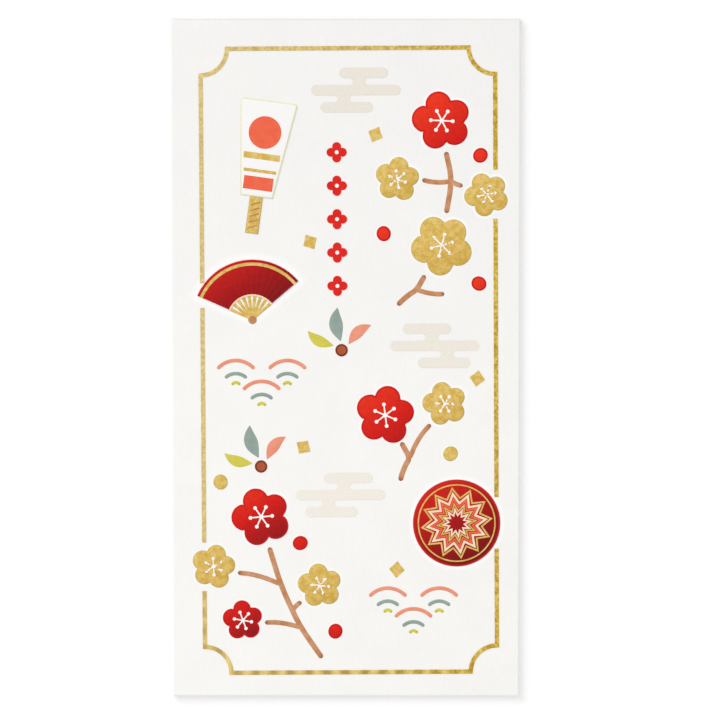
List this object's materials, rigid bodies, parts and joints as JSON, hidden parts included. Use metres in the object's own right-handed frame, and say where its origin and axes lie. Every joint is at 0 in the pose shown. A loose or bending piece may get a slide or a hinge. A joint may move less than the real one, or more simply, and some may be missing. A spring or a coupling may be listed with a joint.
{
  "type": "money envelope",
  "caption": "Tall folded-card money envelope with a printed, embossed front, a centre-seamed back, a glued bottom flap and a closure flap that folds over the back.",
  "frame": {"origin": "middle of the footprint, on the surface that the envelope lies on with its back down", "axes": "+X to the right across the printed front, +Y towards the closure crease at the top, +Z out of the printed front"},
  "size_m": [0.09, 0.176, 0.0018],
  "materials": {
    "white_card": "uncoated, fine laid fibre",
    "dry_glue": "dried glue",
    "gold_ink": "mottled matte gold",
    "red_foil": "satin embossed red",
    "deep_red_foil": "satin embossed deep red",
    "brown_ink": "matte print",
    "beige_ink": "matte print",
    "leaf_ink": "matte print",
    "cream_ink": "matte print"
  },
  "bodies": {
    "envelope": {"battledore": "cream_ink", "border_bottom": "gold_ink", "border_left": "gold_ink", "border_right": "gold_ink", "border_top": "gold_ink", "bottom_flap": "white_card", "bottom_fold": "white_card", "bottom_glue": "dry_glue", "closure_crease": "white_card", "crest_1": "red_foil", "crest_2": "red_foil", "crest_3": "red_foil", "crest_4": "red_foil", "crest_5": "red_foil", "folding_fan": "deep_red_foil", "front_panel": "white_card", "gold_blossom_1": "gold_ink", "gold_blossom_2": "gold_ink", "gold_blossom_3": "gold_ink", "gold_blossom_4": "gold_ink", "gold_blossom_5": "gold_ink", "gold_blossom_large": "gold_ink", "gold_bud_1": "gold_ink", "gold_bud_2": "gold_ink", "gold_fleck_1": "gold_ink", "gold_fleck_2": "gold_ink", "gold_fleck_3": "gold_ink", "gold_fleck_4": "gold_ink", "gold_fleck_5": "gold_ink", "hanging_stem": "brown_ink", "leaf_sprig_1": "leaf_ink", "leaf_sprig_2": "leaf_ink", "left_back_panel": "white_card", "left_side_fold": "white_card", "lower_stem": "brown_ink", "middle_stem": "brown_ink", "mist_band_1": "beige_ink", "mist_band_2": "beige_ink", "mist_band_3": "beige_ink", "red_blossom_lower": "red_foil", "red_blossom_middle": "red_foil", "red_blossom_small": "red_foil", "red_blossom_upper": "red_foil", "red_bud_1": "red_foil", "red_bud_2": "red_foil", "red_bud_3": "red_foil", "red_bud_4": "red_foil", "red_bud_5": "red_foil", "right_back_panel": "white_card", "right_side_fold": "white_card", "seam_glue": "dry_glue", "temari_ball": "red_foil", "upper_stem": "brown_ink"},
    "closure": {"closure_flap": "white_card"}
  },
  "joints": [
    {"name": "closure_hinge", "type": "hinge", "parent": "envelope", "child": "closure", "pos_m": [0, 0.08726, 0.00073], "axis": [1, 0, 0], "range_deg": [0, 178], "deforming": ["closure_crease"]}
  ]
}
